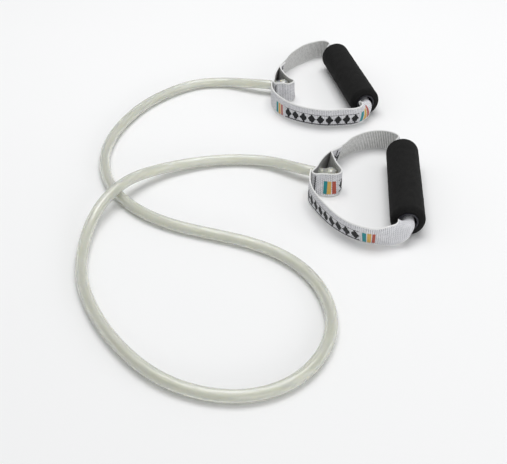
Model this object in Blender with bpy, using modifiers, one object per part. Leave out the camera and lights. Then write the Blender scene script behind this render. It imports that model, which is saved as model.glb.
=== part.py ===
"""Resistance band: one rubber tube between two webbing handles, lying loose on a flat surface.

Metres, +Z up. The two handles lie one behind the other along Y, on the +X side, and the tube
loops out from them towards -X. The origin is on the surface, below the middle of the handles' box.

Each handle is one length of webbing, run through a foam grip with a rigid core. The webbing folds
into a three-sided pocket that the end of the tube passes into, where a plug swells the tube so
that it can't pull out. The webbing turns about the tube's end, and the grip about the webbing.
"""

import math

import bmesh
import bpy
import numpy as np
from mathutils import Matrix, Vector

# Handles' middle in the plan that the points below are given in. It becomes the origin.
PLAN_MIDDLE = (0.1008, 0.1867)
GAP = 0.0003  # left between pieces that touch

# Tube
TUBE_RADIUS = 0.0058
BORE_RADIUS = 0.0028
TUBE_AXIS_IN_POCKET = 0.0120  # height of the tube's middle where it passes through the webbing
SWOLLEN_RADIUS = 0.0086  # outside, over the plug's ball
BALL_FROM_TIP = 0.0066
MOUTH_RADIUS = 0.0034  # of the hole left in the tube's tip, in front of the ball
NECK_LENGTH = 0.0085  # from the ball's middle to where the tube has its own size again
TUBE_STEP = 0.0240
TIP_STEPS = (0, 0.0014, 0.0035, 0.0060, 0.0085, 0.0110, 0.0135, 0.0160, 0.0195, 0.0260)
TUBE_RESOLUTION = 3  # of its bevel

# Plug inside each end of the tube
PLUG_BALL_RADIUS = 0.0060
PLUG_SHANK_RADIUS = 0.0023
PLUG_LENGTH = 0.0240
PLUG_TAPER = 0.0040  # at the shank's free end
PLUG_NECK_TURN = math.asin(PLUG_SHANK_RADIUS / PLUG_BALL_RADIUS)
PLUG_STEPS = 16
BALL_ROOM = 0.0009  # round the ball, because the bore has fewer facets than it

# Webbing
WEB_WIDTH = 0.0250
WEB_THICKNESS = 0.0015
WEB_CLEARANCE = 0.0003  # between its lower edge and the surface
WEB_CURL_IN_BORE = -250.0  # degrees of arc across its width, edges turned away from the face
WEB_LEAN_IN_BORE = 62.0  # degrees, as a station's lean
WEB_SAG_IN_BORE = 0.0014  # of its arch's centre, below the bore's
WEB_ACROSS = 8  # faces across the width
WEB_STEP = 0.0080
WEB_TURN = math.radians(18)
TUBE_HOLE_RADIUS = TUBE_RADIUS + 0.0004

# Grip
GRIP_LENGTH = 0.1364
GRIP_RADIUS = 0.0175
GRIP_END_ROUNDING = 0.0050
CORE_RADIUS = 0.0102
CORE_BORE_RADIUS = 0.0086
CORE_STANDS_OUT = 0.0006
TURNED_STEPS = 32

# Stitching
THREAD_RADIUS = 0.00035
STITCH_WIDTH = 0.0016
STITCH_COUNT = 7
STITCH_ROW_LENGTH = 0.0190

# The route of the tube's middle, from the tip in the rear handle to the tip in the front one. It
# loops out, passes under itself, goes once round in front and comes back over the first stretch.
ROUTE = (
    (0.0429, 0.2925, 0.0120),
    (0.0268, 0.2965, 0.0120),
    (0.0123, 0.3001, 0.0117),
    (-0.0080, 0.3070, 0.0096),
    (-0.0340, 0.3155, 0.0066),
    (-0.0709, 0.3120, 0.0058),
    (-0.1024, 0.2906, 0.0058),
    (-0.1283, 0.2609, 0.0058),
    (-0.1472, 0.2257, 0.0058),
    (-0.1600, 0.1871, 0.0058),
    (-0.1655, 0.1470, 0.0058),
    (-0.1608, 0.1061, 0.0058),
    (-0.1472, 0.0689, 0.0058),
    (-0.1232, 0.0358, 0.0058),
    (-0.0918, 0.0107, 0.0058),
    (-0.0550, -0.0064, 0.0058),
    (-0.0166, -0.0203, 0.0058),
    (0.0187, -0.0394, 0.0058),
    (0.0468, -0.0681, 0.0058),
    (0.0636, -0.1041, 0.0058),
    (0.0682, -0.1450, 0.0058),
    (0.0576, -0.1833, 0.0058),
    (0.0326, -0.2158, 0.0058),
    (-0.0039, -0.2319, 0.0058),
    (-0.0453, -0.2278, 0.0058),
    (-0.0807, -0.2089, 0.0058),
    (-0.1093, -0.1801, 0.0058),
    (-0.1322, -0.1467, 0.0058),
    (-0.1498, -0.1103, 0.0058),
    (-0.1613, -0.0711, 0.0060),
    (-0.1642, -0.0310, 0.0072),
    (-0.1600, 0.0088, 0.0118),
    (-0.1385, 0.0571, 0.0180),
    (-0.1056, 0.0974, 0.0116),
    (-0.0600, 0.1218, 0.0072),
    (-0.0211, 0.1289, 0.0062),
    (0.0193, 0.1213, 0.0078),
    (0.0563, 0.0986, 0.0117),
    (0.0700, 0.0925, 0.0120),
    (0.0878, 0.0846, 0.0120),
)


def on_surface(x, y, lean, curl=-8.0):
    """A webbing station standing on its lower edge: (x, y, height, lean and curl in degrees)."""
    tilt = math.radians(lean)
    rise = (math.cos(tilt) * WEB_WIDTH + abs(math.sin(tilt)) * WEB_THICKNESS) / 2
    return (x, y, rise + WEB_CLEARANCE, lean, curl)


def lifted(x, y, height, lean, curl):
    """A webbing station at a given height."""
    return (x, y, height, lean, curl)


# Each handle: the middle and heading of its grip, where the tube passes through the webbing and
# which way it points there, and the webbing's stations up to the grip and on from it. A lean
# tips the upper edge towards the side that the webbing bends round to.
HANDLES = (
    {
        "name": "front",
        "grip_middle": (0.1576, 0.0603),
        "grip_heading": 85.3,
        "tube_seat": (0.0700, 0.0925),
        "tube_heading": -24.0,
        "near_stitch": (0.0650, 0.0683),
        "far_stitch": (0.0893, 0.1250),
        "to_grip": (
            on_surface(0.0605, 0.0790, 0, -2),
            on_surface(0.0590, 0.0690, 0, -2),
            on_surface(0.0577, 0.0560, 2),
            on_surface(0.0620, 0.0370, -4),
            on_surface(0.0703, 0.0180, -6),
            on_surface(0.0832, -0.0030, -12),
            on_surface(0.0967, -0.0165, -16),
            on_surface(0.1105, -0.0237, -17),
            on_surface(0.1230, -0.0255, -14),
            on_surface(0.1313, -0.0262, -1, -38),
            lifted(0.1402, -0.0249, 0.0136, 10, -84),
            lifted(0.1477, -0.0212, 0.0194, 38, -109),
        ),
        "from_grip": (
            lifted(0.1660, 0.1381, 0.0171, 39, -138),
            lifted(0.1655, 0.1482, 0.0135, 12, -44),
            on_surface(0.1574, 0.1578, 6, -15),
            on_surface(0.1430, 0.1622, 5),
            on_surface(0.1290, 0.1602, 5),
            on_surface(0.1160, 0.1540, 8),
            on_surface(0.1050, 0.1450, 12),
            on_surface(0.0955, 0.1345, 18),
            on_surface(0.0865, 0.1245, 15, -2),
            on_surface(0.0795, 0.1140, 8, -2),
            on_surface(0.0700, 0.0925, 0, -2),
            on_surface(0.0650, 0.0810, 0, -2),
            on_surface(0.0618, 0.0715, 2, -2),
            on_surface(0.0642, 0.0683, 9, -2),
            on_surface(0.0710, 0.0680, 14, -2),
            on_surface(0.0795, 0.0667, 17, -2),
            on_surface(0.0868, 0.0676, 9, -2),
            on_surface(0.0922, 0.0735, 0, -2),
            on_surface(0.0928, 0.0825, 5, -2),
            on_surface(0.0910, 0.0930, 12, -2),
            on_surface(0.0880, 0.1030, 8, -2),
            on_surface(0.0849, 0.1105, -1, -2),
            on_surface(0.0833, 0.1165, -9, -2),
            on_surface(0.0880, 0.1233, -15, -2),
            on_surface(0.0944, 0.1304, -17, -2),
        ),
    },
    {
        "name": "rear",
        "grip_middle": (0.1197, 0.3057),
        "grip_heading": 101.8,
        "tube_seat": (0.0266, 0.2966),
        "tube_heading": -14.0,
        "near_stitch": (0.0272, 0.2762),
        "far_stitch": (0.0348, 0.3306),
        "to_grip": (
            on_surface(0.0230, 0.2850, 0, -2),
            on_surface(0.0220, 0.2740, 0, -2),
            on_surface(0.0232, 0.2600, 0),
            on_surface(0.0290, 0.2450, 0),
            on_surface(0.0405, 0.2300, -4),
            on_surface(0.0560, 0.2190, -8),
            on_surface(0.0740, 0.2120, -9),
            on_surface(0.0900, 0.2100, -9),
            on_surface(0.1050, 0.2120, -6),
            on_surface(0.1213, 0.2153, -9, -13),
            lifted(0.1299, 0.2200, 0.0139, 0, -61),
            lifted(0.1341, 0.2256, 0.0179, 30, -105),
        ),
        "from_grip": (
            lifted(0.1068, 0.3836, 0.0171, 36, -131),
            lifted(0.1040, 0.3949, 0.0134, 13, -44),
            on_surface(0.0954, 0.4012, 5, -15),
            on_surface(0.0815, 0.3985, 5),
            on_surface(0.0680, 0.3880, -2),
            on_surface(0.0548, 0.3735, 2),
            on_surface(0.0437, 0.3565, 8),
            on_surface(0.0372, 0.3435, 14),
            on_surface(0.0318, 0.3290, 12, -2),
            on_surface(0.0287, 0.3170, 8, -2),
            on_surface(0.0262, 0.2975, 0, -2),
            on_surface(0.0253, 0.2880, 0, -2),
            on_surface(0.0245, 0.2800, 2, -2),
            on_surface(0.0265, 0.2764, 4, -2),
            on_surface(0.0330, 0.2762, 6, -2),
            on_surface(0.0405, 0.2752, 0, -2),
            on_surface(0.0465, 0.2768, 3, -2),
            on_surface(0.0500, 0.2830, 2, -2),
            on_surface(0.0484, 0.2920, 15, -2),
            on_surface(0.0449, 0.3000, 18, -2),
            on_surface(0.0402, 0.3080, 14, -2),
            on_surface(0.0356, 0.3160, 4, -2),
            on_surface(0.0325, 0.3236, -9, -2),
            on_surface(0.0339, 0.3285, -12, -2),
            on_surface(0.0376, 0.3370, -14, -2),
        ),
    },
)

MATERIALS = {
    "tube_rubber": ((0.60, 0.62, 0.54), 0.38, 0.0),
    "plug_plastic": ((0.70, 0.70, 0.66), 0.45, 0.0),
    "webbing": ((0.56, 0.56, 0.58), 0.85, 0.0),
    "grip_foam": ((0.016, 0.016, 0.018), 0.90, 0.0),
    "core_plastic": ((0.020, 0.020, 0.024), 0.40, 0.0),
    "thread": ((0.020, 0.020, 0.022), 0.80, 0.0),
}


def clear_scene():
    for old in list(bpy.data.objects):
        bpy.data.objects.remove(old, do_unlink=True)


def new_collection(name):
    made = bpy.data.collections.new(name)
    bpy.context.scene.collection.children.link(made)
    return made


def material(name):
    found = bpy.data.materials.get(name)
    if found:
        return found
    colour, roughness, metallic = MATERIALS[name]
    made = bpy.data.materials.new(name)
    made.use_nodes = True
    made.diffuse_color = (*colour, 1.0)
    shader = made.node_tree.nodes["Principled BSDF"]
    shader.inputs["Base Color"].default_value = (*colour, 1.0)
    shader.inputs["Roughness"].default_value = roughness
    shader.inputs["Metallic"].default_value = metallic
    return made


def place(x, y, z):
    """A point of the plan in the part's own frame."""
    return Vector((x - PLAN_MIDDLE[0], y - PLAN_MIDDLE[1], z))


def smooth_rows(points, across=40):
    """Close rows along the natural cubic spline through points, and the length along it at each.

    The first three columns are a place in space and set the spacing. The others go along.
    """
    rows = np.array(points, float)
    chord = np.linalg.norm(np.diff(rows[:, :3], axis=0), axis=1)
    slopes = np.diff(rows, axis=0) / chord[:, None]
    count = len(rows)
    system = np.eye(count)
    target = np.zeros_like(rows)
    for i in range(1, count - 1):
        system[i, i - 1 : i + 2] = (chord[i - 1], 2 * (chord[i - 1] + chord[i]), chord[i])
        target[i] = 6 * (slopes[i] - slopes[i - 1])
    bend = np.linalg.solve(system, target)
    made = []
    for i in range(count - 1):
        for part in np.linspace(0, 1, across, endpoint=False):
            left, right = 1 - part, part
            cubic = (left**3 - left) * bend[i] + (right**3 - right) * bend[i + 1]
            made.append(left * rows[i] + right * rows[i + 1] + cubic * chord[i] ** 2 / 6)
    made = np.array([*made, rows[-1]])
    steps = np.linalg.norm(np.diff(made[:, :3], axis=0), axis=1)
    return made, np.concatenate(([0.0], np.cumsum(steps)))


def read_at(rows, along, wanted):
    return np.stack([np.interp(wanted, along, column) for column in rows.T], axis=1)


def finish(obj, collection, look, parent=None):
    """Gives a piece its material, its smooth shading and its parent, without moving it."""
    collection.objects.link(obj)
    obj.data.materials.append(material(look))
    if obj.type == "MESH":
        obj.data.shade_smooth()
        obj.data.set_sharp_from_angle(angle=math.radians(40))
    if parent:
        obj.parent = parent
        obj.matrix_parent_inverse = parent.matrix_world.inverted()
    return obj


def cutter(obj, collection):
    collection.objects.link(obj)
    obj.hide_render = True
    obj.display_type = "WIRE"
    return obj


def cut(obj, tool, name):
    step = obj.modifiers.new(name, "BOOLEAN")
    step.operation = "DIFFERENCE"
    step.object = tool


def poly_tube(name, points, radii, resolution):
    """A curve object along points, with a radius at each point."""
    curve = bpy.data.curves.new(name, "CURVE")
    curve.dimensions = "3D"
    curve.bevel_depth = 1.0
    curve.bevel_resolution = resolution
    curve.use_fill_caps = True
    spline = curve.splines.new("POLY")
    spline.points.add(len(points) - 1)
    for knot, point, radius in zip(spline.points, points, radii):
        knot.co = (*point, 1.0)
        knot.radius = radius
    return bpy.data.objects.new(name, curve)


def mesh_from_curve(obj):
    """The curve object remade as a mesh object of the same name, with its caps welded on."""
    name = obj.name
    bpy.context.scene.collection.objects.link(obj)
    bpy.context.view_layer.update()
    graph = bpy.context.evaluated_depsgraph_get()
    mesh = bpy.data.meshes.new_from_object(obj.evaluated_get(graph))
    place_of = obj.matrix_world.copy()
    bpy.data.objects.remove(obj, do_unlink=True)
    shape = bmesh.new()
    shape.from_mesh(mesh)
    bmesh.ops.remove_doubles(shape, verts=shape.verts, dist=1e-6)
    shape.to_mesh(mesh)
    shape.free()
    made = bpy.data.objects.new(name, mesh)
    made.matrix_world = place_of
    return made


def swelling(from_tip, own, swollen):
    """The radius at a distance from the tip: a ball's front, then a neck down to own."""
    if from_tip < BALL_FROM_TIP:
        front = swollen**2 - (BALL_FROM_TIP - from_tip) ** 2
        return math.sqrt(max(front, MOUTH_RADIUS**2))
    part = min(1.0, (from_tip - BALL_FROM_TIP) / NECK_LENGTH)
    return own + (swollen - own) * (1 + math.cos(math.pi * part)) / 2


def tube_stations():
    """Places along the tube, closer together at its swollen ends, and each one's distance from
    the nearer tip."""
    rows, along = smooth_rows([place(*point) for point in ROUTE])
    length = along[-1]
    first, last = TIP_STEPS[-1], length - TIP_STEPS[-1]
    middle = np.linspace(first, last, round((last - first) / TUBE_STEP) + 1)[1:-1]
    wanted = np.array([*TIP_STEPS, *middle, *(length - step for step in reversed(TIP_STEPS))])
    return read_at(rows, along, wanted), np.minimum(wanted, length - wanted)


def make_tube(parts, cutters):
    """One hollow rubber tube, swollen over the plug at each end."""
    points, from_tip = tube_stations()
    outside = [swelling(d, TUBE_RADIUS, SWOLLEN_RADIUS) for d in from_tip]
    inside = [swelling(d, BORE_RADIUS, PLUG_BALL_RADIUS + BALL_ROOM) for d in from_tip]
    beyond = 0.001
    ends = [points[0] - points[1], points[-1] - points[-2]]
    starts = [end / np.linalg.norm(end) * beyond for end in ends]
    bore_points = [points[0] + starts[0], *points, points[-1] + starts[1]]
    bore_radii = [inside[0], *inside, inside[-1]]
    bore = mesh_from_curve(poly_tube("tube_bore_cutter", bore_points, bore_radii, TUBE_RESOLUTION))
    tube = mesh_from_curve(poly_tube("resistance_tube", points, outside, TUBE_RESOLUTION))
    cut(tube, cutter(bore, cutters), "bore")
    return finish(tube, parts, "tube_rubber")


def turned(name, outline, steps=TURNED_STEPS):
    """A solid of revolution about its own Z, from an outline given as (radius, height)."""
    shape = bmesh.new()
    corners = [shape.verts.new((radius, 0.0, height)) for radius, height in outline]
    closed = min(radius for radius, _ in outline) > 0
    last = len(corners) if closed else len(corners) - 1
    for i in range(last):
        shape.edges.new((corners[i], corners[(i + 1) % len(corners)]))
    mesh = bpy.data.meshes.new(name)
    shape.to_mesh(mesh)
    shape.free()
    made = bpy.data.objects.new(name, mesh)
    screw = made.modifiers.new("turn", "SCREW")
    screw.steps = screw.render_steps = steps
    screw.use_merge_vertices = True
    screw.merge_threshold = 0.00001
    return made


def make_plug(name, tip, inward, parts):
    """The plug: a ball just inside the tube's mouth, on a tapered shank down the bore."""
    outline = [(0.0, PLUG_BALL_RADIUS)]
    for turn in np.linspace(0, math.pi - PLUG_NECK_TURN, 10)[1:]:
        outline.append((PLUG_BALL_RADIUS * math.sin(turn), PLUG_BALL_RADIUS * math.cos(turn)))
    bottom = PLUG_BALL_RADIUS - PLUG_LENGTH
    outline += [(PLUG_SHANK_RADIUS, bottom + PLUG_TAPER), (PLUG_SHANK_RADIUS / 2, bottom)]
    outline.append((0.0, bottom))
    plug = turned(name, outline, PLUG_STEPS)
    out = -Vector(inward)
    plug.rotation_mode = "QUATERNION"
    plug.rotation_quaternion = out.to_track_quat("Z", "Y")
    plug.location = Vector(tip) + Vector(inward) * BALL_FROM_TIP
    return finish(plug, parts, "plug_plastic")


def grip_matrix(handle):
    """The grip's frame: origin at its middle, Z along it towards its far end."""
    heading = math.radians(handle["grip_heading"])
    middle = place(*handle["grip_middle"], GRIP_RADIUS)
    turn = Matrix.Rotation(heading + math.pi / 2, 4, "Z") @ Matrix.Rotation(math.pi / 2, 4, "X")
    return Matrix.Translation(middle) @ turn


def seat_matrix(handle):
    """The tube's frame where it passes through the webbing: Z along it, into the pocket."""
    heading = math.radians(handle["tube_heading"])
    ahead = Vector((math.cos(heading), math.sin(heading), 0.0))
    middle = place(*handle["tube_seat"], TUBE_AXIS_IN_POCKET)
    return Matrix.Translation(middle) @ ahead.to_track_quat("Z", "Y").to_matrix().to_4x4()


def axis_empty(name, frame, parts, parent=None):
    made = bpy.data.objects.new(name, None)
    made.empty_display_type = "SINGLE_ARROW"
    made.empty_display_size = 0.04
    parts.objects.link(made)
    if parent:
        made.parent = parent
        made.matrix_parent_inverse = parent.matrix_world.inverted()
    made.matrix_world = frame
    bpy.context.view_layer.update()
    return made


def webbing_stations(handle):
    """All the webbing's stations, end to end: up to the grip, along its bore, and the pocket."""
    heading = math.radians(handle["grip_heading"])
    along = np.array([math.cos(heading), math.sin(heading)])
    reach = WEB_WIDTH / math.radians(-WEB_CURL_IN_BORE)
    lean = math.radians(WEB_LEAN_IN_BORE)
    aside = np.array([along[1], -along[0]]) * math.cos(lean) * reach
    middle = np.array(handle["grip_middle"]) + aside
    height = GRIP_RADIUS - WEB_SAG_IN_BORE + math.sin(lean) * reach
    inside = []
    for part in (-0.525, -0.49, -0.44, -0.3, 0.0, 0.3, 0.44, 0.49, 0.525):
        x, y = middle + along * part * GRIP_LENGTH
        inside.append(lifted(x, y, height, WEB_LEAN_IN_BORE, WEB_CURL_IN_BORE))
    return (*handle["to_grip"], *inside, *handle["from_grip"])


def webbing_rows(handle):
    """Rows along the webbing at its places, near together where it turns: place, lean, curl, and
    the unit vectors along it, across it and out of its face."""
    rows, along = smooth_rows(webbing_stations(handle))
    ahead = np.gradient(rows[:, :3], along, axis=0)
    ahead /= np.linalg.norm(ahead, axis=1)[:, None]
    heading = np.unwrap(np.arctan2(ahead[:, 1], ahead[:, 0]))
    kept, since = [0], 0
    for i in range(1, len(rows)):
        if along[i] - along[since] >= WEB_STEP or abs(heading[i] - heading[since]) >= WEB_TURN:
            kept.append(i)
            since = i
    kept[-1] = len(rows) - 1
    made = []
    for i in kept:
        lean = math.radians(rows[i, 3])
        outward = np.array([ahead[i, 1], -ahead[i, 0], 0.0])
        outward /= np.linalg.norm(outward)
        up = np.array([0.0, 0.0, 1.0])
        across = math.cos(lean) * up - math.sin(lean) * outward
        face = math.cos(lean) * outward + math.sin(lean) * up
        spot = np.array(place(*rows[i, :3]))
        made.append((spot, math.radians(rows[i, 4]), ahead[i], across, face))
    return made


def section(row, offset):
    """The webbing's section at a row: points across its width, offset from its middle surface."""
    spot, curl, _, across, face = row
    radius = WEB_WIDTH / curl
    points = []
    for part in np.linspace(-0.5, 0.5, WEB_ACROSS + 1):
        turn = part * curl
        sideways = (radius - offset) * math.sin(turn)
        depth = radius - (radius - offset) * math.cos(turn)
        points.append(spot + across * sideways + face * depth)
    return points


def make_webbing(handle, parts, cutters, swivel):
    """One band of webbing: a loft of its sections, with the hole that the tube passes through."""
    shape = bmesh.new()
    rings = []
    for row in webbing_rows(handle):
        outer = section(row, WEB_THICKNESS / 2)
        inner = section(row, -WEB_THICKNESS / 2)
        rings.append([shape.verts.new(point) for point in (*outer, *reversed(inner))])
    for before, after in zip(rings, rings[1:]):
        for i in range(len(before)):
            j = (i + 1) % len(before)
            shape.faces.new((before[i], after[i], after[j], before[j]))
    for ring in (rings[0], rings[-1]):
        for i in range(WEB_ACROSS):
            j = 2 * WEB_ACROSS + 1 - i
            shape.faces.new((ring[i], ring[i + 1], ring[j - 1], ring[j]))
    bmesh.ops.recalc_face_normals(shape, faces=shape.faces)
    mesh = bpy.data.meshes.new(handle["name"] + "_webbing_strap")
    shape.to_mesh(mesh)
    shape.free()
    strap = bpy.data.objects.new(mesh.name, mesh)
    drill = bmesh.new()
    bmesh.ops.create_cone(
        drill,
        cap_ends=True,
        segments=24,
        radius1=TUBE_HOLE_RADIUS,
        radius2=TUBE_HOLE_RADIUS,
        depth=0.0100,
        matrix=seat_matrix(handle),
    )
    drill_mesh = bpy.data.meshes.new(handle["name"] + "_tube_hole_cutter")
    drill.to_mesh(drill_mesh)
    drill.free()
    hole = cutter(bpy.data.objects.new(drill_mesh.name, drill_mesh), cutters)
    cut(strap, hole, "tube_hole")
    return finish(strap, parts, "webbing", swivel)


def make_stitching(handle, parts, swivel):
    """A bar of zigzag thread across the webbing at each of the pocket's two sewn corners."""
    rows = webbing_rows(handle)
    places = np.array([row[0] for row in rows])

    def nearest(spot, first):
        reach = np.linalg.norm(places - np.array(place(*spot, WEB_WIDTH / 2)), axis=1)
        return first + int(np.argmin(reach[first:]))

    pocket = nearest(handle["tube_seat"], len(rows) // 2)
    for corner, spot in (("near", handle["near_stitch"]), ("far", handle["far_stitch"])):
        middle, _, ahead, across, face = rows[nearest(spot, pocket)]
        stand_off = WEB_THICKNESS / 2 + GAP + THREAD_RADIUS
        points = []
        for i in range(2 * STITCH_COUNT + 1):
            height = (i / (2 * STITCH_COUNT) - 0.5) * STITCH_ROW_LENGTH
            sway = (0.5 if i % 2 else -0.5) * STITCH_WIDTH
            points.append(middle + across * height + ahead * sway + face * stand_off)
        radii = [THREAD_RADIUS] * len(points)
        name = handle["name"] + "_" + corner + "_stitching"
        thread = mesh_from_curve(poly_tube(name, points, radii, 0))
        finish(thread, parts, "thread", swivel)


def rounded_outline(outer, inner, half, rounding):
    """A ring's outline, outer side first from the top: (radius, height), with rounded corners."""
    outline = []
    for start, sign in ((math.pi / 2, 1), (0.0, -1)):
        for turn in np.linspace(start, start - math.pi / 2, 6):
            radius = outer - rounding + rounding * math.cos(turn)
            outline.append((radius, sign * (half - rounding) + rounding * math.sin(turn)))
    return [*outline, (inner, -half), (inner, half)]


def make_grip(handle, parts, spin):
    """The foam sleeve and the rigid core tube that it is pushed on to."""
    half = GRIP_LENGTH / 2
    foam_outline = rounded_outline(GRIP_RADIUS, CORE_RADIUS + GAP, half, GRIP_END_ROUNDING)
    foam = turned(handle["name"] + "_grip_foam", foam_outline)
    core_outline = rounded_outline(CORE_RADIUS, CORE_BORE_RADIUS, half + CORE_STANDS_OUT, 0.0005)
    core = turned(handle["name"] + "_grip_core", core_outline)
    for piece, look in ((foam, "grip_foam"), (core, "core_plastic")):
        piece.matrix_world = grip_matrix(handle)
        finish(piece, parts, look, spin)


def make_handle(handle, parts, cutters):
    swivel = axis_empty(handle["name"] + "_swivel_axis", seat_matrix(handle), parts)
    spin = axis_empty(handle["name"] + "_grip_axis", grip_matrix(handle), parts, swivel)
    make_webbing(handle, parts, cutters, swivel)
    make_stitching(handle, parts, swivel)
    make_grip(handle, parts, spin)


def main():
    clear_scene()
    parts = new_collection("resistance_band")
    cutters = new_collection("cutters")
    make_tube(parts, cutters)
    points, _ = tube_stations()
    for name, tip, beyond in (("rear", points[0], points[1]), ("front", points[-1], points[-2])):
        inward = Vector(beyond - tip).normalized()
        make_plug(name + "_tube_plug", tip, inward, parts)
    for handle in HANDLES:
        make_handle(handle, parts, cutters)


main()
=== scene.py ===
"""Looks for a resistance band: a latex tube between two webbing handles with foam grips.

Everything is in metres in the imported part's own frame, with +Z up and the origin on the surface
that the band lies on. The routes of the tube and of the two webbing straps are given in the
part's plan, as in part.py, and place() moves a point of the plan into the frame.
"""

import math

import bmesh
import bpy
import numpy as np
from mathutils import Matrix, Vector, noise


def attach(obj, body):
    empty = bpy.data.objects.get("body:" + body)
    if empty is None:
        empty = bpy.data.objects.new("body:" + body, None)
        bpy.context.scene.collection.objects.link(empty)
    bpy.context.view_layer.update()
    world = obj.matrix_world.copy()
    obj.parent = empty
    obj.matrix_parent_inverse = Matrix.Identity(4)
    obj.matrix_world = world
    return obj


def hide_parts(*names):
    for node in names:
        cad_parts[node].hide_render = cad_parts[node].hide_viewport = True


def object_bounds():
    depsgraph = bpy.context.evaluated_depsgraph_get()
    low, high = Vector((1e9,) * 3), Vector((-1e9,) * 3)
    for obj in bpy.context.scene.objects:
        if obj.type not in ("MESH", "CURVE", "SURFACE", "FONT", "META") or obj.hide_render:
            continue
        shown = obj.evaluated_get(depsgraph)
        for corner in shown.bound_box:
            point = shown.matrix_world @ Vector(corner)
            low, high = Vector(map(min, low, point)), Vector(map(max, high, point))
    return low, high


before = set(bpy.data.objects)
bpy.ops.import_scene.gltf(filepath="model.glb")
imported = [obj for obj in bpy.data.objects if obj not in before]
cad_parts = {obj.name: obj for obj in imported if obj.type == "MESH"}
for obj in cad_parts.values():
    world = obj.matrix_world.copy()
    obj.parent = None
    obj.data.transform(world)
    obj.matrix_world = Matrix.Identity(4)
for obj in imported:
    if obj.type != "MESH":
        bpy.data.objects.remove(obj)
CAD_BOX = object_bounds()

# Plan: the handles' middle, which is the frame's origin
PLAN_MIDDLE = (0.1008, 0.1867)
GAP = 0.0003

# Camera
CAMERA_AIM = (-0.1008, -0.1867, 0.0)
CAMERA_DISTANCE = 0.9524
CAMERA_TILT = math.radians(35.73)  # down from level
CAMERA_LENS = 67.6

# Studio: the sky's strength towards the tube's loops and towards the grips, and each lamp's
# place, aim, size and power in watts
SKY_LEFT = 0.45
SKY_RIGHT = 0.52
LAMPS = {
    "key": ((-0.05, 0.42, 1.90), (-0.05, 0.0, 0.0), (1.6, 1.2), 24.2),
    "side": ((1.50, -0.70, 0.70), (0.0, -0.1, 0.0), (0.6, 0.9), 3.8),
    "front": ((0.50, -1.70, 0.40), (0.0, -0.2, 0.0), (1.2, 0.30), 4.5),
}
FLOOR_WIDTH = 8.0

# Tube
TUBE_DIAMETER = 0.0116
TUBE_RADIUS = TUBE_DIAMETER / 2
BORE_RADIUS = 0.0028
TUBE_AXIS_IN_POCKET = 0.0120
SWOLLEN_RADIUS = 0.0086
SWOLLEN_BORE = 0.0069
BALL_FROM_TIP = 0.0066
MOUTH_RADIUS = 0.0034
NECK_LENGTH = 0.0085
LIP = 0.0005
BORE_DEPTH = 0.0265
TUBE_STEP = 0.0010
BORE_STEP = 0.0022
TIP_STEP = 0.0008
TUBE_SIDES = 44
TUBE_FRAMES = 2000  # along the tube, where its cross directions are worked out

# Webbing
WEB_WIDTH = 0.0250
WEB_THICKNESS = 0.0015
WEB_CLEARANCE = 0.0003
WEB_CURL_IN_BORE = -250.0  # degrees of arc across its width
WEB_LEAN_IN_BORE = 62.0
WEB_SAG_IN_BORE = 0.0014  # of its arch's centre, below the bore's
BODY_THICKNESS = 0.0012  # between its two thicker selvedges
SELVEDGE = 0.0014
BORDER_CREST = 0.00085  # in from the edge, where the selvedge is thickest
BORDER_ROUNDING = 0.00035
EDGE_ROUNDING = 0.00005
RIB_PITCH = 0.0020
RIB_HEIGHT = 0.00024
RIB_ROWS = 4  # of the mesh, to a rib
BODY_COLUMNS = 14
BORE_STATIONS = (-0.525, -0.49, -0.44, -0.3, 0.0, 0.3, 0.44, 0.49, 0.525)  # of the grip's length
BACK_V = 0.0500  # added to the across coordinate on the plain side
TUBE_HOLE_RADIUS = TUBE_RADIUS + 0.0004
TUBE_HOLE_DEPTH = 0.0080
TUBE_HOLE_SIDES = 48

# Woven figures on the webbing's patterned side: rows of diamonds, three to a group. An accent
# of coloured stripes opens each group and closes each row.
ROW_PITCH = 0.1678
ROWS_IN_GROUP = 3
ACCENT_LENGTH = 0.0140
ROW_END = 0.1130
ACCENT_STARTS = (0.0, ROW_END, ROW_END + ROW_PITCH, ROW_END + 2 * ROW_PITCH)
DIAMONDS_START = 0.0170
DIAMOND_COUNT = 9
DIAMOND_PITCH = 0.0104
FIGURE_LOW = 0.0026
FIGURE_HIGH = 0.0166
THREAD = 0.0010  # width of one warp end, the smallest step of a figure
ACCENT_STRIPES = (  # each stripe's middle, as a share of the accent, and its colour
    (0.17, (0.030, 0.250, 0.270, 1)),
    (0.50, (0.640, 0.400, 0.110, 1)),
    (0.83, (0.420, 0.090, 0.060, 1)),
)
DIAMOND_SIZE = 0.94  # of the space between the rails
RAIL_FROM_MIDDLE = 0.43
STRIPE_HALF_WIDTH = 0.13  # of an accent's length
# Painted shade on the pocket's wall: how soft its ends are along the band, and how far it darkens
# the plain side
WALL_SHADE_SOFTNESS = 0.0040
WALL_PAINTED_SHADE = 0.7

# Grip
GRIP_LENGTH = 0.1364
GRIP_RADIUS = 0.0175
GRIP_END_ROUNDING = 0.0050
CORE_RADIUS = 0.0102
CORE_BORE_RADIUS = 0.0086
CORE_STANDS_OUT = 0.0006
GRIP_SIDES = 96
FOAM_UNEVENNESS = 0.00018
FOAM_WAVES = 120.0  # to a metre
FOAM_BORE_ROUNDING = 0.0008
FOAM_STEP = 0.0020
CORE_END_ROUNDING = 0.0005
CORE_BORE_ROUNDING = 0.0003
CORE_STEP = 0.0040
OUTER_CORNER_POINTS = 12
INNER_CORNER_POINTS = 5

# Stitching
THREAD_RADIUS = 0.00035
STITCH_WIDTH = 0.0017
STITCH_COUNT = 10
STITCH_ROW_LENGTH = 0.0190
STITCH_POINTS = 8  # to half a stitch
STITCH_SHARPNESS = 0.97  # of the zigzag's corners: 1 is quite sharp
STITCH_SINK = 0.00025  # of the thread, where it enters the webbing
STITCH_SPOT_STEP = 0.0010
THREAD_SIDES = 8

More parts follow.
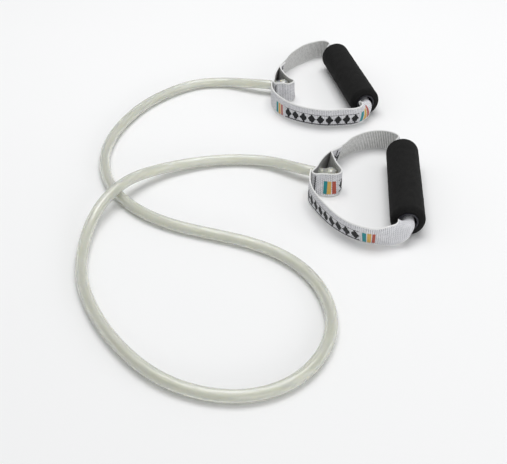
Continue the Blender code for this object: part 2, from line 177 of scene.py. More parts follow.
ROUTE = (
    (0.0429, 0.2925, 0.0120),
    (0.0268, 0.2965, 0.0120),
    (0.0123, 0.3001, 0.0117),
    (-0.0080, 0.3070, 0.0096),
    (-0.0340, 0.3155, 0.0066),
    (-0.0709, 0.3120, 0.0058),
    (-0.1024, 0.2906, 0.0058),
    (-0.1283, 0.2609, 0.0058),
    (-0.1472, 0.2257, 0.0058),
    (-0.1600, 0.1871, 0.0058),
    (-0.1655, 0.1470, 0.0058),
    (-0.1608, 0.1061, 0.0058),
    (-0.1472, 0.0689, 0.0058),
    (-0.1232, 0.0358, 0.0058),
    (-0.0918, 0.0107, 0.0058),
    (-0.0550, -0.0064, 0.0058),
    (-0.0166, -0.0203, 0.0058),
    (0.0187, -0.0394, 0.0058),
    (0.0468, -0.0681, 0.0058),
    (0.0636, -0.1041, 0.0058),
    (0.0682, -0.1450, 0.0058),
    (0.0576, -0.1833, 0.0058),
    (0.0326, -0.2158, 0.0058),
    (-0.0039, -0.2319, 0.0058),
    (-0.0453, -0.2278, 0.0058),
    (-0.0807, -0.2089, 0.0058),
    (-0.1093, -0.1801, 0.0058),
    (-0.1322, -0.1467, 0.0058),
    (-0.1498, -0.1103, 0.0058),
    (-0.1613, -0.0711, 0.0060),
    (-0.1642, -0.0310, 0.0072),
    (-0.1600, 0.0088, 0.0118),
    (-0.1385, 0.0571, 0.0180),
    (-0.1056, 0.0974, 0.0116),
    (-0.0600, 0.1218, 0.0072),
    (-0.0211, 0.1289, 0.0062),
    (0.0193, 0.1213, 0.0078),
    (0.0563, 0.0986, 0.0117),
    (0.0700, 0.0925, 0.0120),
    (0.0878, 0.0846, 0.0120),
)


def on_surface(x, y, lean, curl=-8.0):
    """A webbing station standing on its lower edge: (x, y, height, lean and curl in degrees)."""
    tilt = math.radians(lean)
    rise = (math.cos(tilt) * WEB_WIDTH + abs(math.sin(tilt)) * WEB_THICKNESS) / 2
    return (x, y, rise + WEB_CLEARANCE, lean, curl)


def lifted(x, y, height, lean, curl):
    """A webbing station at a given height."""
    return (x, y, height, lean, curl)


HANDLES = (
    {
        "name": "front",
        "grip_middle": (0.1576, 0.0603),
        "grip_heading": 85.3,
        "tube_seat": (0.0700, 0.0925),
        "tube_heading": -24.0,
        "near_stitch": (0.0650, 0.0683),
        "far_stitch": (0.0893, 0.1250),
        "row_starts": 0.0045,
        # Where along the band the pocket's wall has painted shade
        "painted_shade_wall": (0.4400, 0.4920),
        "to_grip": (
            on_surface(0.0605, 0.0790, 0, -2),
            on_surface(0.0590, 0.0690, 0, -2),
            on_surface(0.0577, 0.0560, 2),
            on_surface(0.0620, 0.0370, -4),
            on_surface(0.0703, 0.0180, -6),
            on_surface(0.0832, -0.0030, -12),
            on_surface(0.0967, -0.0165, -16),
            on_surface(0.1105, -0.0237, -17),
            on_surface(0.1230, -0.0255, -14),
            on_surface(0.1313, -0.0262, -1, -38),
            lifted(0.1402, -0.0249, 0.0136, 10, -84),
            lifted(0.1477, -0.0212, 0.0194, 38, -109),
        ),
        "from_grip": (
            lifted(0.1660, 0.1381, 0.0171, 39, -138),
            lifted(0.1655, 0.1482, 0.0135, 12, -44),
            on_surface(0.1574, 0.1578, 6, -15),
            on_surface(0.1430, 0.1622, 5),
            on_surface(0.1290, 0.1602, 5),
            on_surface(0.1160, 0.1540, 8),
            on_surface(0.1050, 0.1450, 12),
            on_surface(0.0955, 0.1345, 18),
            on_surface(0.0865, 0.1245, 15, -2),
            on_surface(0.0795, 0.1140, 8, -2),
            on_surface(0.0700, 0.0925, 0, -2),
            on_surface(0.0650, 0.0810, 0, -2),
            on_surface(0.0618, 0.0715, 2, -2),
            on_surface(0.0642, 0.0683, 9, -2),
            on_surface(0.0710, 0.0680, 14, -2),
            on_surface(0.0795, 0.0667, 17, -2),
            on_surface(0.0868, 0.0676, 9, -2),
            on_surface(0.0922, 0.0735, 0, -2),
            on_surface(0.0928, 0.0825, 5, -2),
            on_surface(0.0910, 0.0930, 12, -2),
            on_surface(0.0880, 0.1030, 8, -2),
            on_surface(0.0849, 0.1105, -1, -2),
            on_surface(0.0833, 0.1165, -9, -2),
            on_surface(0.0880, 0.1233, -15, -2),
            on_surface(0.0944, 0.1304, -17, -2),
        ),
    },
    {
        "name": "rear",
        "grip_middle": (0.1197, 0.3057),
        "grip_heading": 101.8,
        "tube_seat": (0.0266, 0.2966),
        "tube_heading": -14.0,
        "near_stitch": (0.0272, 0.2762),
        "far_stitch": (0.0348, 0.3306),
        "row_starts": 0.0390,
        # Where along the band the pocket's wall has painted shade
        "painted_shade_wall": (0.4560, 0.4990),
        "to_grip": (
            on_surface(0.0230, 0.2850, 0, -2),
            on_surface(0.0220, 0.2740, 0, -2),
            on_surface(0.0232, 0.2600, 0),
            on_surface(0.0290, 0.2450, 0),
            on_surface(0.0405, 0.2300, -4),
            on_surface(0.0560, 0.2190, -8),
            on_surface(0.0740, 0.2120, -9),
            on_surface(0.0900, 0.2100, -9),
            on_surface(0.1050, 0.2120, -6),
            on_surface(0.1213, 0.2153, -9, -13),
            lifted(0.1299, 0.2200, 0.0139, 0, -61),
            lifted(0.1341, 0.2256, 0.0179, 30, -105),
        ),
        "from_grip": (
            lifted(0.1068, 0.3836, 0.0171, 36, -131),
            lifted(0.1040, 0.3949, 0.0134, 13, -44),
            on_surface(0.0954, 0.4012, 5, -15),
            on_surface(0.0815, 0.3985, 5),
            on_surface(0.0680, 0.3880, -2),
            on_surface(0.0548, 0.3735, 2),
            on_surface(0.0437, 0.3565, 8),
            on_surface(0.0372, 0.3435, 14),
            on_surface(0.0318, 0.3290, 12, -2),
            on_surface(0.0287, 0.3170, 8, -2),
            on_surface(0.0262, 0.2975, 0, -2),
            on_surface(0.0253, 0.2880, 0, -2),
            on_surface(0.0245, 0.2800, 2, -2),
            on_surface(0.0265, 0.2764, 4, -2),
            on_surface(0.0330, 0.2762, 6, -2),
            on_surface(0.0405, 0.2752, 0, -2),
            on_surface(0.0465, 0.2768, 3, -2),
            on_surface(0.0500, 0.2830, 2, -2),
            on_surface(0.0484, 0.2920, 15, -2),
            on_surface(0.0449, 0.3000, 18, -2),
            on_surface(0.0402, 0.3080, 14, -2),
            on_surface(0.0356, 0.3160, 4, -2),
            on_surface(0.0325, 0.3236, -9, -2),
            on_surface(0.0339, 0.3285, -12, -2),
            on_surface(0.0376, 0.3370, -14, -2),
        ),
    },
)


# ---------------------------------------------------------------- shapes


def place(x, y, z):
    """A point of the plan in the frame."""
    return np.array((x - PLAN_MIDDLE[0], y - PLAN_MIDDLE[1], z))


def smooth_rows(points, across=40):
    """Close rows along the natural cubic spline through points, and the length along it at each.

    The first three columns are a place in space and set the spacing. The others go along.
    """
    rows = np.array(points, float)
    chord = np.linalg.norm(np.diff(rows[:, :3], axis=0), axis=1)
    slopes = np.diff(rows, axis=0) / chord[:, None]
    count = len(rows)
    system = np.eye(count)
    target = np.zeros_like(rows)
    for i in range(1, count - 1):
        system[i, i - 1 : i + 2] = (chord[i - 1], 2 * (chord[i - 1] + chord[i]), chord[i])
        target[i] = 6 * (slopes[i] - slopes[i - 1])
    bend = np.linalg.solve(system, target)
    made = []
    for i in range(count - 1):
        for part in np.linspace(0, 1, across, endpoint=False):
            left, right = 1 - part, part
            cubic = (left**3 - left) * bend[i] + (right**3 - right) * bend[i + 1]
            made.append(left * rows[i] + right * rows[i + 1] + cubic * chord[i] ** 2 / 6)
    made = np.array([*made, rows[-1]])
    steps = np.linalg.norm(np.diff(made[:, :3], axis=0), axis=1)
    return made, np.concatenate(([0.0], np.cumsum(steps)))


def read_at(rows, along, wanted):
    return np.stack([np.interp(wanted, along, column) for column in rows.T], axis=1)


def unit(vectors):
    return vectors / np.linalg.norm(vectors, axis=-1, keepdims=True)


def frames_along(points):
    """Unit vectors along, beside and over each point of a line, carried on without twisting."""
    ahead = unit(np.gradient(points, axis=0))
    side = np.cross(ahead[0], (0.0, 0.0, 1.0))
    beside = []
    for direction in ahead:
        side = side - direction * np.dot(side, direction)
        side = side / np.linalg.norm(side)
        beside.append(side)
    beside = np.array(beside)
    return ahead, beside, np.cross(beside, ahead)


def circle(centre, beside, over, radius, sides):
    turns = np.linspace(0, 2 * math.pi, sides, endpoint=False)
    ring = np.outer(np.cos(turns), beside) + np.outer(np.sin(turns), over)
    return centre + radius * ring


def skin(name, rings, closed=False):
    """A mesh object through rings of points. Its ends are capped, or joined if it is closed."""
    sides = len(rings[0])
    count = len(rings)
    verts = np.concatenate(rings)
    faces = []
    for i in range(count if closed else count - 1):
        a, b = i * sides, (i + 1) % count * sides
        for j in range(sides):
            k = (j + 1) % sides
            faces.append((a + j, b + j, b + k, a + k))
    if not closed:
        faces.append(tuple(range(sides)))
        faces.append(tuple(range((count - 1) * sides, count * sides))[::-1])
    mesh = bpy.data.meshes.new(name)
    mesh.from_pydata(verts.tolist(), [], faces)
    turn_outwards(mesh)
    mesh.shade_smooth()
    made = bpy.data.objects.new(name, mesh)
    bpy.context.scene.collection.objects.link(made)
    return made


def turn_outwards(mesh):
    shape = bmesh.new()
    shape.from_mesh(mesh)
    bmesh.ops.recalc_face_normals(shape, faces=shape.faces)
    shape.to_mesh(mesh)
    shape.free()


# ---------------------------------------------------------------- materials


class Nodes:
    """A material's node tree, built by short calls. Each call returns the new node's output."""

    def __init__(self, name, **constants):
        self.material = bpy.data.materials.new(name)
        self.material.use_nodes = True
        self.tree = self.material.node_tree
        self.shader = self.tree.nodes["Principled BSDF"]
        for key, value in constants.items():
            self.shader.inputs[key.replace("_", " ")].default_value = value

    def add(self, kind, inputs=(), output=0, **settings):
        node = self.tree.nodes.new(kind)
        for key, value in settings.items():
            setattr(node, key, value)
        for key, value in dict(inputs).items():
            self.put(node.inputs[key], value)
        return node.outputs[output]

    def put(self, socket, value):
        if isinstance(value, bpy.types.NodeSocket):
            self.tree.links.new(value, socket)
        else:
            socket.default_value = value

    def set(self, name, value):
        self.put(self.shader.inputs[name], value)

    def math(self, operation, a, b=0.0, c=0.0):
        return self.add("ShaderNodeMath", {0: a, 1: b, 2: c}, operation=operation)

    def mix(self, share, a, b):
        """Colour a where share is 0 and b where it is 1."""
        return self.add("ShaderNodeMix", {0: share, 6: a, 7: b}, output=2, data_type="RGBA")

    def band(self, value, low, high, soft=0.0):
        """1 where value lies from low to high, and 0 elsewhere, with edges as wide as soft."""
        if not soft:
            above = self.math("GREATER_THAN", value, low)
            return self.math("MULTIPLY", above, self.math("LESS_THAN", value, high))
        up = self.ramp(value, low - soft, low + soft)
        return self.math("MULTIPLY", up, self.ramp(value, high + soft, high - soft))

    def ramp(self, value, low, high, to_low=0.0, to_high=1.0):
        inputs = {0: value, 1: low, 2: high, 3: to_low, 4: to_high}
        return self.add("ShaderNodeMapRange", inputs)

    def noise(self, scale, detail=2.0, roughness=0.5):
        inputs = {"Scale": scale, "Detail": detail, "Roughness": roughness, "Vector": self.here()}
        return self.add("ShaderNodeTexNoise", inputs)

    def here(self):
        """The place in the object's own space."""
        return self.add("ShaderNodeTexCoord", output=3)

    def bump(self, height, distance, strength=1.0):
        inputs = {"Height": height, "Distance": distance, "Strength": strength}
        return self.add("ShaderNodeBump", inputs)


def grey(level):
    return (level, level, level, 1.0)


def latex():
    """Natural latex: cloudy, half see-through and dusted with talc."""
    n = Nodes("latex", Transmission_Weight=0.68, IOR=1.50, Coat_Weight=0.6, Coat_Roughness=0.08)
    n.shader.inputs["Subsurface Weight"].default_value = 0.25
    n.shader.inputs["Subsurface Scale"].default_value = 0.004
    n.shader.inputs["Subsurface Radius"].default_value = (1.0, 0.9, 0.6)
    cloud = n.noise(60.0, 3.0)
    fine = n.noise(900.0, 2.0)
    body = n.mix(n.ramp(cloud, 0.35, 0.70), (0.930, 0.938, 0.862, 1), (0.900, 0.912, 0.815, 1))
    talc = n.ramp(n.noise(240.0, 4.0, 0.7), 0.55, 0.75, 0.0, 0.35)
    n.set("Base Color", n.mix(talc, body, (0.930, 0.930, 0.880, 1)))
    n.set("Roughness", n.ramp(fine, 0.3, 0.7, 0.11, 0.19))
    n.set("Normal", n.bump(fine, 0.00002, 0.15))
    return n.material


def foam():
    """Closed-cell foam: near black, with fine pores cut open at its skin."""
    n = Nodes("grip_foam", Roughness=0.92)
    n.shader.inputs["Specular IOR Level"].default_value = 0.16
    cells = n.add("ShaderNodeTexVoronoi", {"Vector": n.here(), "Scale": 1100.0})
    pore = n.ramp(cells, 0.10, 0.45)
    cloud = n.noise(160.0, 4.0, 0.65)
    fine = n.noise(1800.0, 3.0, 0.7)
    skin_tone = n.mix(n.ramp(cloud, 0.3, 0.7), grey(0.0085), (0.0140, 0.0138, 0.0134, 1))
    n.set("Base Color", n.mix(pore, grey(0.0030), skin_tone))
    n.set("Roughness", n.ramp(fine, 0.3, 0.7, 0.82, 0.98))
    height = n.math("ADD", n.math("MULTIPLY", pore, 0.6), n.math("MULTIPLY", fine, 0.8))
    n.set("Normal", n.bump(height, 0.00020, 0.7))
    return n.material


def core_plastic():
    """Smooth black plastic with a faint grain."""
    n = Nodes("core_plastic", Roughness=0.30)
    cloud = n.noise(300.0, 3.0)
    n.set("Base Color", n.mix(cloud, (0.010, 0.010, 0.016, 1), (0.018, 0.018, 0.026, 1)))
    n.set("Roughness", n.ramp(cloud, 0.3, 0.7, 0.24, 0.40))
    n.set("Normal", n.bump(n.noise(1500.0, 2.0), 0.00003, 0.4))
    return n.material


def plug_plastic():
    """Pale moulded plastic."""
    n = Nodes("plug_plastic", Roughness=0.50)
    cloud = n.noise(400.0, 3.0)
    n.set("Base Color", n.mix(cloud, (0.90, 0.90, 0.86, 1), (0.94, 0.94, 0.91, 1)))
    n.set("Roughness", n.ramp(cloud, 0.3, 0.7, 0.42, 0.58))
    return n.material


def thread():
    """Dark sewing thread with a fine grain."""
    n = Nodes("thread", Roughness=0.70, Sheen_Weight=0.2)
    fine = n.noise(2500.0, 2.0)
    n.set("Base Color", n.mix(fine, (0.010, 0.010, 0.013, 1), (0.045, 0.045, 0.055, 1)))
    n.set("Normal", n.bump(fine, 0.00010, 0.8))
    return n.material


def webbing(handle):
    """Ribbed webbing: heathered on its patterned side, plain on its back, white at its edges.

    The weave is drawn from the band's own UV map, in metres: along it, and across it with
    BACK_V added on the back. The patterned side has rows of black diamonds between two lines in
    its lower part, with plain gaps between the rows. The plain side has painted shade on the
    pocket's wall, over the distances along the band that the handle gives for it.
    """
    n = Nodes(handle["name"] + "_webbing", Roughness=0.85, Sheen_Weight=0.15)
    n.shader.inputs["Specular IOR Level"].default_value = 0.25
    place_on = n.add("ShaderNodeUVMap", uv_map="weave")
    split = n.tree.nodes.new("ShaderNodeSeparateXYZ")
    n.tree.links.new(place_on, split.inputs[0])
    along, across = split.outputs[0], split.outputs[1]
    back = n.math("GREATER_THAN", across, (WEB_WIDTH + BACK_V) / 2)
    v = n.math("SUBTRACT", across, n.math("MULTIPLY", back, BACK_V))

    # Threads: ribs across the band, and pairs of warp ends that dip between them by turns
    rib = n.math("DIVIDE", along, RIB_PITCH)
    stagger = n.math("MULTIPLY", n.math("FLOOR", rib), 0.5)
    pair = n.math("ADD", n.math("DIVIDE", v, THREAD * 2), stagger)
    rib_round = n.math("PINGPONG", rib, 0.5)
    pair_round = n.math("PINGPONG", pair, 0.5)
    cell = n.add("ShaderNodeCombineXYZ", {0: n.math("FLOOR", rib), 1: n.math("FLOOR", pair)})
    speck = n.add("ShaderNodeTexWhiteNoise", {"Vector": cell}, noise_dimensions="3D")
    cloud = n.noise(90.0, 3.0, 0.6)

    pale = n.mix(cloud, (0.76, 0.76, 0.78, 1), (0.69, 0.69, 0.71, 1))
    dip = n.math("MULTIPLY", n.ramp(pair_round, 0.30, 0.16), n.ramp(rib_round, 0.34, 0.16))
    dip = n.math("MULTIPLY", dip, n.ramp(speck, 0.05, 0.60, 0.35, 1.0))
    heather = n.mix(dip, pale, (0.10, 0.10, 0.13, 1))
    plain = n.mix(n.ramp(rib_round, 0.06, 0.30), (0.28, 0.28, 0.265, 1), (0.88, 0.88, 0.87, 1))
    plain = n.mix(n.ramp(speck, 0.5, 1.0, 0.0, 0.30), plain, (0.36, 0.36, 0.35, 1))
    # Painted shade: the plain side is darkened towards grey(0.07) on the pocket's wall, where the
    # pocket's shadow falls
    wall = n.band(along, *handle["painted_shade_wall"], WALL_SHADE_SOFTNESS)
    plain = n.mix(n.math("MULTIPLY", wall, WALL_PAINTED_SHADE), plain, grey(0.07))
    cloth = n.mix(back, heather, plain)

    # Figures and accents on the patterned side, in steps of a thread
    group = ROW_PITCH * ROWS_IN_GROUP
    start = n.math("SNAP", n.math("ADD", along, group - handle["row_starts"]), THREAD)
    turn = n.math("MODULO", start, ROW_PITCH)
    in_group = n.math("MODULO", start, group)
    height = n.ramp(n.math("SNAP", v, THREAD), FIGURE_LOW, FIGURE_HIGH)
    face = n.math("SUBTRACT", 1.0, back)
    strip = n.math("MULTIPLY", n.band(v, FIGURE_LOW, FIGURE_HIGH), face)
    diamonds_end = DIAMONDS_START + DIAMOND_COUNT * DIAMOND_PITCH
    offset = n.math("DIVIDE", n.math("SUBTRACT", turn, DIAMONDS_START), DIAMOND_PITCH)
    off_x = n.math("ABSOLUTE", n.math("SUBTRACT", n.math("FRACT", offset), 0.5))
    off_y = n.math("ABSOLUTE", n.math("SUBTRACT", height, 0.5))
    reach = n.math("ADD", n.math("MULTIPLY", off_x, 2.0), n.math("MULTIPLY", off_y, 2.0))
    diamond = n.math("LESS_THAN", reach, DIAMOND_SIZE)
    rail = n.math("GREATER_THAN", off_y, RAIL_FROM_MIDDLE)
    in_row = n.band(turn, DIAMONDS_START, diamonds_end)
    figure = n.math("MULTIPLY", n.math("MAXIMUM", diamond, rail), in_row)
    cloth = n.mix(n.math("MULTIPLY", figure, strip), cloth, (0.014, 0.014, 0.016, 1))
    for accent in ACCENT_STARTS:
        part = n.math("DIVIDE", n.math("SUBTRACT", in_group, accent), ACCENT_LENGTH)
        for middle, colour in ACCENT_STRIPES:
            stripe = n.band(part, middle - STRIPE_HALF_WIDTH, middle + STRIPE_HALF_WIDTH)
            cloth = n.mix(n.math("MULTIPLY", stripe, strip), cloth, colour)

    edge = n.math("MINIMUM", v, n.math("SUBTRACT", WEB_WIDTH, v))
    selvedge = n.math("LESS_THAN", edge, SELVEDGE)
    n.set("Base Color", n.mix(selvedge, cloth, (0.80, 0.80, 0.79, 1)))

    relief = n.math("ADD", pair_round, n.math("MULTIPLY", speck, 0.15))
    n.set("Normal", n.bump(relief, 0.0003, 0.5))
    return n.material


def floor_material():
    """A plain pale floor."""
    n = Nodes("floor", Roughness=0.95)
    n.shader.inputs["Specular IOR Level"].default_value = 0.1
    n.set("Base Color", n.mix(n.noise(3.0, 2.0), grey(0.885), grey(0.895)))
    return n.material


# ---------------------------------------------------------------- camera, lights and floor


def make_camera():
    lens = bpy.data.cameras.new("camera")
    lens.lens = CAMERA_LENS
    lens.clip_start = 0.01
    camera = bpy.data.objects.new("camera", lens)
    back = Vector((0.0, -math.cos(CAMERA_TILT), math.sin(CAMERA_TILT)))
    camera.location = Vector(CAMERA_AIM) + back * CAMERA_DISTANCE
    camera.rotation_euler = (math.pi / 2 - CAMERA_TILT, 0.0, 0.0)
    bpy.context.scene.collection.objects.link(camera)
    bpy.context.scene.camera = camera


def make_light(name, place_at, aim, size, power):
    lamp = bpy.data.lights.new(name, "AREA")
    lamp.shape = "RECTANGLE"
    lamp.size, lamp.size_y = size
    lamp.energy = power
    made = bpy.data.objects.new(name, lamp)
    made.location = place_at
    direction = Vector(aim) - Vector(place_at)
    made.rotation_euler = direction.to_track_quat("-Z", "Y").to_euler()
    bpy.context.scene.collection.objects.link(made)


def make_studio():
    """A pale sky that is brighter towards the grips, three soft lamps and a floor."""
    world = bpy.data.worlds.new("studio")
    world.use_nodes = True
    tree = world.node_tree
    sky = tree.nodes["Background"]
    sky.inputs["Color"].default_value = (0.98, 0.99, 1.0, 1)
    direction = tree.nodes.new("ShaderNodeSeparateXYZ")
    tree.links.new(tree.nodes.new("ShaderNodeTexCoord").outputs["Generated"], direction.inputs[0])
    level = tree.nodes.new("ShaderNodeMapRange")
    level.inputs["From Min"].default_value = -1.0
    level.inputs["To Min"].default_value = SKY_LEFT
    level.inputs["To Max"].default_value = SKY_RIGHT
    tree.links.new(direction.outputs["X"], level.inputs["Value"])
    tree.links.new(level.outputs["Result"], sky.inputs["Strength"])
    bpy.context.scene.world = world
    bpy.context.scene.view_settings.view_transform = "Standard"
    for name, lamp in LAMPS.items():
        make_light(name, *lamp)
    bpy.ops.mesh.primitive_plane_add(size=FLOOR_WIDTH, location=(0.0, 0.0, CAD_BOX[0].z))
    floor = bpy.context.object
    floor.name = "floor"
    floor.data.materials.append(floor_material())


# ---------------------------------------------------------------- the tube


def swelling(from_tip, own, swollen):
    """The radius at a distance from the tip: a ball's front, then a neck down to own."""
    if from_tip < BALL_FROM_TIP:
        front = swollen**2 - (BALL_FROM_TIP - from_tip) ** 2
        return math.sqrt(max(front, MOUTH_RADIUS**2))
    part = min(1.0, (from_tip - BALL_FROM_TIP) / NECK_LENGTH)
    return own + (swollen - own) * (1 + math.cos(math.pi * part)) / 2


def make_tube():
    """The latex tube, hollow from tip to tip: along its outside, over a lip, and back inside."""
    rows, along = smooth_rows([place(*point) for point in ROUTE])
    length = along[-1]
    near_tip = np.arange(TIP_STEP, BORE_DEPTH, TIP_STEP)
    outside, inside = [], []
    for made, step, own, swollen in (
        (outside, TUBE_STEP, TUBE_RADIUS, SWOLLEN_RADIUS),
        (inside, BORE_STEP, BORE_RADIUS, SWOLLEN_BORE),
    ):
        count = round((length - 2 * BORE_DEPTH) / step)
        middle = np.linspace(BORE_DEPTH, length - BORE_DEPTH, count)
        for s in (*near_tip, *middle, *(length - near_tip[::-1])):
            made.append((s, swelling(min(s, length - s), own, swollen)))
    tip = swelling(0.0, TUBE_RADIUS, SWOLLEN_RADIUS)
    lip = [(0.0, MOUTH_RADIUS + LIP), (0.0, tip - LIP)]
    far_lip = [(length, radius) for _, radius in reversed(lip)]
    stations = [*lip, *outside, *far_lip, *reversed(inside)]
    line = np.linspace(0, length, TUBE_FRAMES)
    points = read_at(rows, along, line)
    _, beside, over = frames_along(points)
    rings = []
    for s, radius in stations:
        centre, side, top = (read_at(table, line, [s])[0] for table in (points, beside, over))
        rings.append(circle(centre, unit(side), unit(top), radius, TUBE_SIDES))
    tube = skin("latex_tube", rings, closed=True)
    tube.data.materials.append(latex())
    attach(tube, "tube")
    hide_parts("resistance_tube")
    plugs = [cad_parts[name + "_tube_plug"] for name in ("rear", "front")]
    look = plug_plastic()
    for plug in plugs:
        plug.data.materials.clear()
        plug.data.materials.append(look)


# ---------------------------------------------------------------- the webbing


def webbing_stations(handle):
    """All the webbing's stations, end to end: up to the grip, along its bore, and the pocket."""
    heading = math.radians(handle["grip_heading"])
    along = np.array([math.cos(heading), math.sin(heading)])
    reach = WEB_WIDTH / math.radians(-WEB_CURL_IN_BORE)
    lean = math.radians(WEB_LEAN_IN_BORE)
    aside = np.array([along[1], -along[0]]) * math.cos(lean) * reach
    middle = np.array(handle["grip_middle"]) + aside
    height = GRIP_RADIUS - WEB_SAG_IN_BORE + math.sin(lean) * reach
    inside = []
    for part in BORE_STATIONS:
        x, y = middle + along * part * GRIP_LENGTH
        inside.append(lifted(x, y, height, WEB_LEAN_IN_BORE, WEB_CURL_IN_BORE))
    return (*handle["to_grip"], *inside, *handle["from_grip"])


def webbing_rows(handle, step):
    """Even rows along the webbing: distance, place, curl, and unit vectors ahead, across, face."""
    rows, along = smooth_rows(webbing_stations(handle))
    ahead = unit(np.gradient(rows[:, :3], along, axis=0))
    wanted = np.arange(0.0, along[-1], step)
    kept = read_at(rows, along, wanted)
    ahead = unit(read_at(ahead, along, wanted))
    made = []
    for s, row, forward in zip(wanted, kept, ahead):
        lean = math.radians(row[3])
        outward = unit(np.array([forward[1], -forward[0], 0.0]))
        up = np.array([0.0, 0.0, 1.0])
        across = math.cos(lean) * up - math.sin(lean) * outward
        face = math.cos(lean) * outward + math.sin(lean) * up
        made.append((s, place(*row[:3]), math.radians(row[4]), forward, across, face))
    return made


def section_outline():
    """The webbing's section, as (across, offset, ribbed, v) round it: its patterned side up from
    the lower edge, over the upper edge, down its back, and round the lower edge."""
    half = WEB_WIDTH / 2
    body = np.linspace(-half + SELVEDGE, half - SELVEDGE, BODY_COLUMNS + 1)
    border = (
        (half - BORDER_ROUNDING, WEB_THICKNESS / 2 * 0.92),
        (half - BORDER_CREST, WEB_THICKNESS / 2),
    )
    up = [(-place_at, offset, 0) for place_at, offset in border]
    up += [(place_at, BODY_THICKNESS / 2, 1) for place_at in body]
    up += [(place_at, offset, 0) for place_at, offset in reversed(border)]
    near_edge = half - EDGE_ROUNDING
    edge = [(near_edge, WEB_THICKNESS / 4, 0), (half, 0.0, 0), (near_edge, -WEB_THICKNESS / 4, 0)]
    down = [(place_at, -offset, ribbed) for place_at, offset, ribbed in reversed(up)]
    under = [(-place_at, -offset, 0) for place_at, offset, _ in edge]
    return [*up, *edge, *down, *under], len(up), len(edge)


def band_point(row, sideways, offset):
    """A point of the curled band: sideways across its width and offset towards its face."""
    _, spot, curl, _, across, face = row
    radius = WEB_WIDTH / curl
    turn = sideways / radius
    reach = (radius - offset) * math.sin(turn)
    depth = radius - (radius - offset) * math.cos(turn)
    return spot + across * reach + face * depth


def make_webbing(handle):
    """One band of ribbed webbing with thicker selvedges, and the hole for the tube."""
    outline, side_count, edge_count = section_outline()
    rows = webbing_rows(handle, RIB_PITCH / RIB_ROWS)
    rings = []
    for i, row in enumerate(rows):
        rise = 1 - RIB_HEIGHT / BODY_THICKNESS * math.cos(2 * math.pi * i / RIB_ROWS)
        points = [(a, offset * (rise if ribbed else 1.0)) for a, offset, ribbed in outline]
        rings.append(np.array([band_point(row, *point) for point in points]))
    band = skin(handle["name"] + "_webbing", rings)
    mesh = band.data
    uv = mesh.uv_layers.new(name="weave")
    half, count = WEB_WIDTH / 2, len(outline)
    back_first, back_last = side_count + edge_count, 2 * side_count + edge_count
    for polygon in mesh.polygons:
        ids = [mesh.loops[k].vertex_index for k in polygon.loop_indices]
        slots = [i % count for i in ids]
        on_back = all(back_first <= s < back_last for s in slots)
        for k, i in zip(polygon.loop_indices, ids):
            v = outline[i % count][0] + half
            uv.data[k].uv = (rows[i // count][0], v + (BACK_V if on_back else 0.0))
    drill_hole(band, handle)
    mesh = band.data
    mesh.materials.clear()
    mesh.materials.append(webbing(handle))
    body = handle["name"] + "_strap"
    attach(band, body)
    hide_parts(handle["name"] + "_webbing_strap")


def drill_hole(band, handle):
    """Cut the hole that the tube goes through in the pocket's wall."""
    heading = math.radians(handle["tube_heading"])
    ahead = Vector((math.cos(heading), math.sin(heading), 0.0))
    middle = Vector(place(*handle["tube_seat"], TUBE_AXIS_IN_POCKET))
    bpy.ops.mesh.primitive_cylinder_add(
        vertices=TUBE_HOLE_SIDES, radius=TUBE_HOLE_RADIUS, depth=TUBE_HOLE_DEPTH
    )
    tool = bpy.context.object
    turn = ahead.to_track_quat("Z", "Y").to_matrix().to_4x4()
    tool.matrix_world = Matrix.Translation(middle) @ turn
    step = band.modifiers.new("hole", "BOOLEAN")
    step.operation = "DIFFERENCE"
    step.object = tool
    bpy.context.view_layer.update()
    graph = bpy.context.evaluated_depsgraph_get()
    band.data = bpy.data.meshes.new_from_object(band.evaluated_get(graph))
    band.modifiers.clear()
    bpy.data.objects.remove(tool, do_unlink=True)


def make_stitching(handle, look):
    """A zigzag of thread across the webbing at each of the pocket's two sewn corners."""
    rows = webbing_rows(handle, STITCH_SPOT_STEP)
    places = np.array([row[1] for row in rows])

    def nearest(spot, first):
        reach = np.linalg.norm(places - place(*spot, WEB_WIDTH / 2), axis=1)
        return first + int(np.argmin(reach[first:]))

    pocket = nearest(handle["tube_seat"], len(rows) // 2)
    for corner in ("near", "far"):
        _, middle, _, ahead, across, face = rows[nearest(handle[corner + "_stitch"], pocket)]
        points = []
        half_stitches = 2 * STITCH_COUNT
        for part in np.linspace(0, half_stitches, half_stitches * STITCH_POINTS + 1):
            height = (part / half_stitches - 0.5) * STITCH_ROW_LENGTH
            swing = math.cos(math.pi * part)
            zigzag = math.asin(STITCH_SHARPNESS * swing) / math.asin(STITCH_SHARPNESS)
            sway = zigzag * STITCH_WIDTH / 2
            sunk = STITCH_SINK * abs(swing) ** 6
            stand_off = WEB_THICKNESS / 2 + THREAD_RADIUS * 0.6 - sunk
            points.append(middle + across * height + ahead * sway + face * stand_off)
        points = np.array(points)
        _, beside, over = frames_along(points)
        rings = []
        for middle, side, top in zip(points, beside, over):
            rings.append(circle(middle, side, top, THREAD_RADIUS, THREAD_SIDES))
        name = handle["name"] + "_" + corner + "_thread"
        made = skin(name, rings)
        made.data.materials.append(look)
        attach(made, handle["name"] + "_strap")
        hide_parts(handle["name"] + "_" + corner + "_stitching")


# ---------------------------------------------------------------- the grips


def grip_matrix(handle):
    """The grip's frame: origin at its middle, Z along it towards its far end."""
    heading = math.radians(handle["grip_heading"])
    middle = Vector(place(*handle["grip_middle"], GRIP_RADIUS))
    turn = Matrix.Rotation(heading + math.pi / 2, 4, "Z") @ Matrix.Rotation(math.pi / 2, 4, "X")
    return Matrix.Translation(middle) @ turn


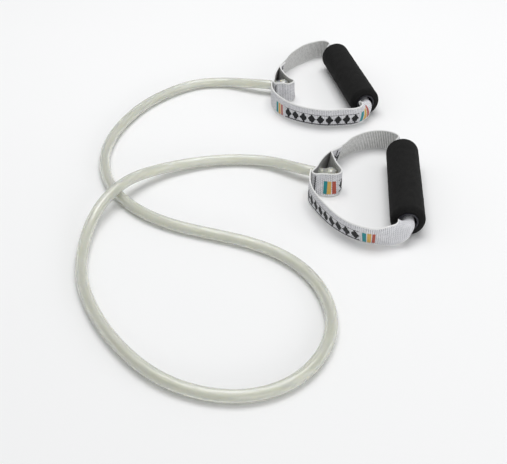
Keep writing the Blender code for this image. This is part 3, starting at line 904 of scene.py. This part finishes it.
def turned(name, outline, frame_matrix, uneven=0.0):
    """A ring turned from a closed outline of (radius, height), its skin uneven by a length."""
    rings = []
    for radius, height in outline:
        ring = circle(np.array([0.0, 0.0, height]), (1, 0, 0), (0, 1, 0), radius, GRIP_SIDES)
        if uneven:
            lifts = [1 + uneven / radius * noise.noise(Vector(p) * FOAM_WAVES) for p in ring]
            ring[:, :2] *= np.array(lifts)[:, None]
        rings.append(np.array([frame_matrix @ Vector(p) for p in ring]))
    return skin(name, rings, closed=True)


def ring_outline(outer, inner, half, outer_rounding, inner_rounding, step):
    """(radius, height) round a ring's wall: the outer side, then the bore, rounded at all four
    corners."""
    side = np.arange(-half + outer_rounding, half - outer_rounding, step)
    outline = [(outer, height) for height in side]
    for quarter in range(4):
        in_bore = quarter in (1, 2)
        rounding = inner_rounding if in_bore else outer_rounding
        middle_radius = inner + rounding if in_bore else outer - rounding
        middle_height = half - rounding if quarter < 2 else rounding - half
        count = INNER_CORNER_POINTS if in_bore else OUTER_CORNER_POINTS
        for turn in np.linspace(quarter * math.pi / 2, (quarter + 1) * math.pi / 2, count):
            radius = middle_radius + rounding * math.cos(turn)
            outline.append((radius, middle_height + rounding * math.sin(turn)))
    return outline[:-1]


def make_grip(handle, foam_look, core_look):
    """A foam sleeve on its core tube."""
    half = GRIP_LENGTH / 2
    body = handle["name"] + "_grip"
    at = grip_matrix(handle)
    foam_size = (GRIP_RADIUS, CORE_RADIUS + GAP, half, GRIP_END_ROUNDING, FOAM_BORE_ROUNDING)
    foam_outline = ring_outline(*foam_size, FOAM_STEP)
    sleeve = turned(handle["name"] + "_foam_sleeve", foam_outline, at, uneven=FOAM_UNEVENNESS)
    sleeve.data.materials.append(foam_look)
    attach(sleeve, body)
    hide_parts(handle["name"] + "_grip_foam")
    core_half = half + CORE_STANDS_OUT
    core_size = (CORE_RADIUS, CORE_BORE_RADIUS, core_half, CORE_END_ROUNDING, CORE_BORE_ROUNDING)
    core_outline = ring_outline(*core_size, CORE_STEP)
    core = turned(handle["name"] + "_core_tube", core_outline, at)
    core.data.materials.append(core_look)
    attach(core, body)
    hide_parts(handle["name"] + "_grip_core")


def main():
    make_camera()
    make_tube()
    make_studio()
    foam_look, core_look, thread_look = foam(), core_plastic(), thread()
    for handle in HANDLES:
        make_webbing(handle)
        make_stitching(handle, thread_look)
        make_grip(handle, foam_look, core_look)


main()
